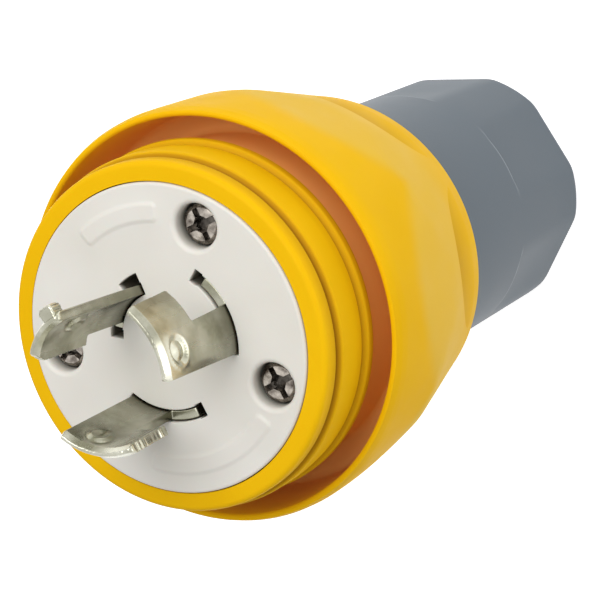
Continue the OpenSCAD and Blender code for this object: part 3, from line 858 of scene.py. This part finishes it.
def shearMarks(pole, seed):
    # fine ridges across the hook's end edge and the tip
    end, length = arcLength(pole, pole["neck"] + pole["hook"]), pole["length"]

    def extra(u, v):
        if v < blades["hookHeight"] - 0.1 or (u < end - 1.6 and v < length - 0.6):
            return 0
        run = (v if u > end - 0.3 else u) / blades["ridgePitch"]
        wave = math.sin(2 * math.pi * (run + 0.3 * math.sin(run * 1.7 + seed)))
        return (blades["ridge"] * (0.5 + 0.5 * wave)
                * (0.6 + 0.4 * math.sin(run * 0.9 + 2 * seed)))
    return extra


def addTab(shell, pole):
    # the neutral blade's outward tab, as a body of its own that starts inside the blade
    middle = (tab["rootRadius"] + tab["radius"]) / 2
    start, top = math.radians(pole["start"] + tab["inset"]), pole["length"] - tab["below"]

    def place(u, v, depth):
        return upright(pole, start + u / middle, v, top - depth)[1] + Vector((0, 0, faceTop))

    shell.place, shell.shadeAt = place, lambda u, v, depth: 0.1
    width = math.radians(tab["arc"]) * middle
    corners = [(0, tab["rootRadius"], 0.1), (width, tab["rootRadius"], 0.1),
               (width, tab["radius"], tab["corner"]), (0, tab["radius"], tab["corner"])]
    outline = roundedOutline(corners, blades["outlineStep"], tab["rounding"] + edgeSpare)
    front, back = roundedEdge(shell, outline, tab["length"], tab["rounding"], steps=6,
                              extra=lambda u, v: tab["ridge"] * (1 + math.sin((u + v) * 10)))
    shell.cap(front, [], 0)
    shell.cap(back, [], tab["length"])


def makeBlade(name, pole, seed):
    place, dimple = bladePlace(pole)
    neckEnd = arcLength(pole, pole["neck"])

    def shadeAt(u, v, depth):
        # darker near the root, but not on the shoulder beside the neck
        onNeck = u < neckEnd + 0.1 or v > 2
        return 0.9 * (1 - eased(v, -1.0, 9.0)) ** 2 if onNeck else 0.1

    shell = Shell(place, shadeAt)
    outline, hole = bladeOutline(pole)
    thick = blades["thickness"]
    front, back = roundedEdge(shell, outline, thick, blades["edgeRounding"],
                              extra=shearMarks(pole, seed))
    holeFront, holeBack = roundedEdge(shell, hole, thick, blades["holeRounding"], side=-1,
                                      steps=2)
    radii = [blades["dimpleRadius"] * share
             for share in (0.2, 0.4, 0.55, 0.7, 0.84, 0.95, 1.03, 1.1, 1.18, 1.28)]
    bevelEnd = pole["length"] - blades["tipBevel"]
    inner = gridInside([shell.flat[vert] for vert in front],
                       [[shell.flat[vert] for vert in holeFront]], blades["gridStep"],
                       [(*dimple, radii)], [bevelEnd + gap for gap in (-0.08, 0.0, 0.08)])
    shell.cap(front, [holeFront], 0, inner)
    shell.cap(back, [holeBack], thick, inner)
    if name == "neutral_blade":
        addTab(shell, pole)
    return shell.finish(name + "Metal")


for seed, (name, pole) in enumerate(poles.items()):
    dress(makeBlade(name, pole, seed), "blade_metal", name)
print("blades made")

# face with its slots, screw wells and bare pads
face = {
    "rimPoints": 256,
    "edge": 0.4,
    "slotGap": 0.18,
    "slotEdge": 0.14,
    "slotStep": 0.35,
    "endWidth": 2.1,            # small square end of a slot
    "endLength": 0.8,
    "shadeRows": (0.6, 1.2),    # depths of a slot's extra loops, for its shade
    "wellAngles": (65.0, -21.0, 185.5),
    "wellRing": 17.75,
    "wellRadius": 3.25,
    "wellMouth": 0.75,          # rounding of the well's mouth
    "wellDepth": 4.1,
    "wellRows": (1.3, 2.0),     # depths of a well's extra loops, for its shade
    "throughRadius": 2.0,
    "pads": ((84.0, 128.0), (-106.0, -36.0)),
    "padRadii": (16.6, 20.0),
    "padCorner": 1.1,
    "padEdge": 0.8,
}


def polar(radius, degrees):
    return (radius * math.cos(math.radians(degrees)), radius * math.sin(math.radians(degrees)))


def polarArc(radius, start, end, step=0.4):
    count = max(2, round(abs(math.radians(end - start)) * radius / step))
    return [polar(radius, start + (end - start) * i / count) for i in range(count + 1)]


def slotOutline(name, pole):
    # counterclockwise outline of a blade's slot, with the tab's leg at the neutral blade
    start, gap = pole["start"], face["slotGap"]
    inner, outer = pole["radius"] - gap, pole["radius"] + blades["thickness"] + gap
    side = math.degrees(gap / pole["radius"])
    end = start + pole["neck"] + pole["hook"]
    middle = (inner + outer) / 2
    half, length = face["endWidth"] / 2, face["endLength"]
    out, along = Vector(polar(1, end)), Vector(polar(1, end + 90))
    square = [tuple(out * (middle + a * half) + along * b)
              for a, b in ((1, -0.5), (1, length), (-1, length), (-1, -0.5))]
    stop = math.degrees(0.5 / middle)
    if name == "neutral_blade":
        legEnd = start + tab["inset"] + tab["arc"] + 0.5
        outline = [polar(outer, start - side), polar(outer, start - 0.5)]
        outline += polarArc(tab["radius"] + gap, start - 0.5, legEnd)
        outline += polarArc(outer, legEnd, end - stop)
    else:
        outline = polarArc(outer, start - side, end - stop)
    return outline + square + polarArc(inner, end - stop, start - side)


def addSlot(shell, name, pole):
    outline, edge = evenSteps(slotOutline(name, pole), face["slotStep"]), face["slotEdge"]
    steps = [(shrunk(outline, -edge - support), 0), (shrunk(outline, -edge), 0),
             (shrunk(outline, -edge * 0.45), edge * 0.2),
             (shrunk(outline, -edge * 0.1), edge * 0.6)]
    depths = (edge * 1.1, *face["shadeRows"], seatDepth)
    return shell.stack(steps + [(outline, depth) for depth in depths])


def addWell(shell, angle):
    centre = polar(face["wellRing"], angle)
    wide, mouth, through = face["wellRadius"], face["wellMouth"], face["throughRadius"]
    steps = [(wide + mouth + support, 0)]
    steps += [(wide + inset, depth) for inset, depth in quarterTurn(mouth, 5)]
    steps += [(wide, depth) for depth in (*face["wellRows"], face["wellDepth"])]
    steps += [(through, face["wellDepth"]), (through, seatDepth)]
    return shell.stack([(roundLoop(radius, centre), depth) for radius, depth in steps])


def addPad(shell, start, end):
    # a raised pad with a soft border; returns the loop at its foot
    (inner, outer), rounding = face["padRadii"], face["padCorner"]
    middle = (inner + outer) / 2
    length = math.radians(end - start) * middle
    corners = [(0, inner), (length, inner), (length, outer), (0, outer)]
    points = roundedOutline([(*corner, rounding) for corner in corners], 0.5)
    outline = [polar(v, start + math.degrees(u / middle)) for u, v in reversed(points)]
    foot, top = shell.stack([(shrunk(outline, face["padEdge"] * share),
                              -padHeight * eased(share, 0, 1))
                             for share in (0, 0.2, 0.4, 0.6, 0.8, 1.0, 1.15)])
    shell.cap(top, [], -padHeight)
    return foot


def makeFace():
    def shadeAt(x, y, depth):
        # slots and wells get dark inside
        away = math.hypot(x, y)
        if away > 21.5:
            return 0.0
        return 0.85 * eased(depth, 0.7, 2.6) if away > 13 else eased(depth, 0.05, 1.1)

    shell = Shell(lambda x, y, depth: Vector((x, y, faceTop - depth)), shadeAt)
    edge = face["edge"]
    rim = [(faceRadius - edge - support, 0)]
    rim += [(faceRadius - inset, depth) for inset, depth in quarterTurn(edge, 5)]
    rimFront, rimBack = shell.stack([(roundLoop(radius, count=face["rimPoints"]), depth)
                                     for radius, depth in rim + [(faceRadius, seatDepth)]])
    through = [addSlot(shell, name, pole) for name, pole in poles.items()]
    through += [addWell(shell, angle) for angle in face["wellAngles"]]
    feet = [addPad(shell, start, end) for start, end in face["pads"]]
    shell.cap(rimFront, [front for front, back in through] + feet, 0)
    shell.cap(rimBack, [back for front, back in through], seatDepth)
    return shell.finish("facePlate")


dress(makeFace(), "face_plastic", "face_insulator")
print("face made")

# clamp nut
nut = {
    "columns": 360,
    "edge": 1.0,
    "flats": 6,
    "flatAngle": 28.0,
    "flatDepth": 1.1,
    "flatLength": 24.0,
    "flatLean": 0.7,
    "flatBlend": 0.5,
    "runOut": 0.9,              # length of the slope at a flat's front end
    "seatRadius": 20.6,         # recess for the seal ring
    "seatDepth": 2.3,
    "bore": 18.6,
    "hole": 10.5,
    "mouth": 2.2,
    "coneWide": 16.35,          # cone that squeezes the collet
    "coneTip": 12.25,
    "coneTop": 18.0,
    "endWall": 4.0,
}


def nutRadiusAt(turn, height):
    # outside radius with the flats cut in, and how far a flat is cut
    off = fromNearest(turn, nut["flats"], nut["flatAngle"])
    lean = height * math.tan(math.radians(nut["flatLean"]))
    plane = nutRadius - nut["flatDepth"] + lean
    flat = smallerOf(nutRadius, plane / math.cos(off), nut["flatBlend"])
    end = nut["flatLength"]
    share = 1 - eased(height, end - nut["runOut"], end + 0.15)
    return nutRadius + (flat - nutRadius) * share, nutRadius - flat


def nutInside():
    # profile from the front rim through the bore to the cord's mouth, as (radius, height)
    seat, bore, hole, mouth = nut["seatRadius"], nut["bore"], nut["hole"], nut["mouth"]
    seatLow = nutTop - nut["seatDepth"]
    points = [(nutRadius - 0.4, nutTop), (seat, nutTop), (seat, seatLow), (bore, seatLow),
              (bore, nut["coneTop"]), (nut["coneWide"], nut["coneTop"]),
              (nut["coneTip"], nut["endWall"]), (hole, nut["endWall"])]
    return points + arcPoints(hole + mouth, mouth, mouth, 180, 270, 5)


def makeNut():
    end, edge = nut["flatLength"], nut["edge"]
    heights = [1.0 + (end - 2.5) * i / 20 for i in range(21)]
    heights += [end - 1.2 + 0.15 * i for i in range(14)] + [end + 1.6, nutTop - 6, nutTop - 0.5]
    rear = arcPoints(nutRadius - edge, edge, edge, -90, -9, 5)
    inside = [(r, z, 0.0) for r, z in nutInside()]

    def profileAt(turn):
        points = [(min(r, nutRadiusAt(turn, z)[0] - (nutRadius - r) * 0.3), z, 0.0)
                  for r, z in rear]
        for height in heights:
            r, cut = nutRadiusAt(turn, height)
            # a painted highlight along the front end of each flat, where the flat is cut deep
            # enough
            points.append((r, height, peak(height, end + 0.1, 0.22) * eased(cut, 0.25, 0.7)))
        return points + inside
    return turnedMesh("nutBody", nut["columns"], profileAt, "paintedHighlight")


dress(makeNut(), "nut_plastic", "clamp_nut")
print("nut made")

# screws: the frame's own solids, with their edges softened
screws = {
    "weld": 0.001,
    "edge": 0.07,
    "segments": 3,
    "sharpest": 28,
}
joined = nodes["assembly_screws"].modifiers.new("joined", "WELD")
joined.merge_threshold = screws["weld"] * mm
softEdge = nodes["assembly_screws"].modifiers.new("softEdge", "BEVEL")
softEdge.width = screws["edge"] * mm
softEdge.segments = screws["segments"]
softEdge.limit_method = "ANGLE"
softEdge.angle_limit = math.radians(screws["sharpest"])
softEdge.harden_normals = True
print("screws softened")

# camera, light and floor
studio = {
    "faceCentre": Vector((0, 0, faceTop)) * mm,
    "cameraPlace": Vector((172.0, 70.8, 255.9)) * mm,    # from the centre of the face
    "right": Vector((0.87035, -0.12121, -0.47728)),
    "up": Vector((0.0, 0.96923, -0.24615)),
    "back": Vector((0.49243, 0.21423, 0.84357)),
    "lens": 135.6,
    "lampTarget": Vector((0, 0, faceTop - 25)) * mm,
    # name: place in m along the camera's right, up and back directions, size in m, power
    "lamps": {
        "keyLamp": ((-0.22, 0.19, 0.5), 0.5, 2.6),
        "sideLamp": ((0.5, 0.05, 0.3), 0.35, 1.0),
        "topLamp": ((0.05, 0.5, 0.0), 0.3, 0.1),
    },
    "skyStrength": 0.45,
    "floorRadius": 3.0,                                  # in m
    "floorColour": (0.8, 0.8, 0.8, 1),
    "floorGlow": 0.8,
}


def cameraAxes():
    return Matrix((studio["right"], studio["up"], studio["back"])).transposed()


def makeCamera():
    camera = bpy.data.objects.new("camera", bpy.data.cameras.new("camera"))
    scene.collection.objects.link(camera)
    camera.matrix_world = (Matrix.Translation(studio["faceCentre"] + studio["cameraPlace"])
                           @ cameraAxes().to_4x4())
    camera.data.lens = studio["lens"]
    camera.data.sensor_width = 36
    camera.data.clip_start = 0.01
    scene.camera = camera


def makeLamps():
    axes, target = cameraAxes(), studio["lampTarget"]
    for name, (place, size, power) in studio["lamps"].items():
        lamp = bpy.data.objects.new(name, bpy.data.lights.new(name, "AREA"))
        scene.collection.objects.link(lamp)
        lamp.location = target + axes @ Vector(place)
        lamp.rotation_mode = "QUATERNION"
        lamp.rotation_quaternion = (target - lamp.location).to_track_quat("-Z", "Y")
        lamp.data.size = size
        lamp.data.energy = power


def mixForView(tree, usual, seen, output):
    # one shader for light, and another for camera, glossy and transmission rays
    path = tree.nodes.new("ShaderNodeLightPath")
    total = path.outputs["Is Camera Ray"]
    for name in ("Is Glossy Ray", "Is Transmission Ray"):
        most = tree.nodes.new("ShaderNodeMath")
        most.operation = "MAXIMUM"
        tree.links.new(total, most.inputs[0])
        tree.links.new(path.outputs[name], most.inputs[1])
        total = most.outputs[0]
    mix = tree.nodes.new("ShaderNodeMixShader")
    tree.links.new(total, mix.inputs["Fac"])
    tree.links.new(usual, mix.inputs[1])
    tree.links.new(seen, mix.inputs[2])
    tree.links.new(mix.outputs[0], output.inputs["Surface"])


def makeSky():
    # a soft even light, and a white background
    world = bpy.data.worlds.new("softRoom")
    scene.world = world
    world.use_nodes = True
    tree = world.node_tree
    tree.nodes.clear()
    output = tree.nodes.new("ShaderNodeOutputWorld")
    light, shown = (tree.nodes.new("ShaderNodeBackground") for _ in range(2))
    light.inputs["Strength"].default_value = studio["skyStrength"]
    for node in (light, shown):
        node.inputs["Color"].default_value = (1, 1, 1, 1)
    mixForView(tree, light.outputs[0], shown.outputs[0], output)


def makeFloor():
    # a round pale floor; where it's seen, it glows a little and keeps the shadow
    made = bmesh.new()
    bmesh.ops.create_circle(made, cap_ends=True, segments=96, radius=studio["floorRadius"])
    mesh = bpy.data.meshes.new("floor")
    made.to_mesh(mesh)
    made.free()
    floor = bpy.data.objects.new("floor", mesh)
    scene.collection.objects.link(floor)
    tree = Nodes("paleFloor")
    tree.set(color=studio["floorColour"], rough=0.9, specular=0.1)
    glow, both = tree.add("ShaderNodeEmission"), tree.add("ShaderNodeAddShader")
    glow.inputs["Strength"].default_value = studio["floorGlow"]
    tree.link(tree.shader.outputs[0], both.inputs[0])
    tree.link(glow.outputs[0], both.inputs[1])
    mixForView(tree.tree, tree.shader.outputs[0], both.outputs[0], tree.output)
    mesh.materials.append(tree.material)


makeCamera()
makeLamps()
makeSky()
makeFloor()
scene.view_settings.view_transform = "Standard"
print("studio ready")
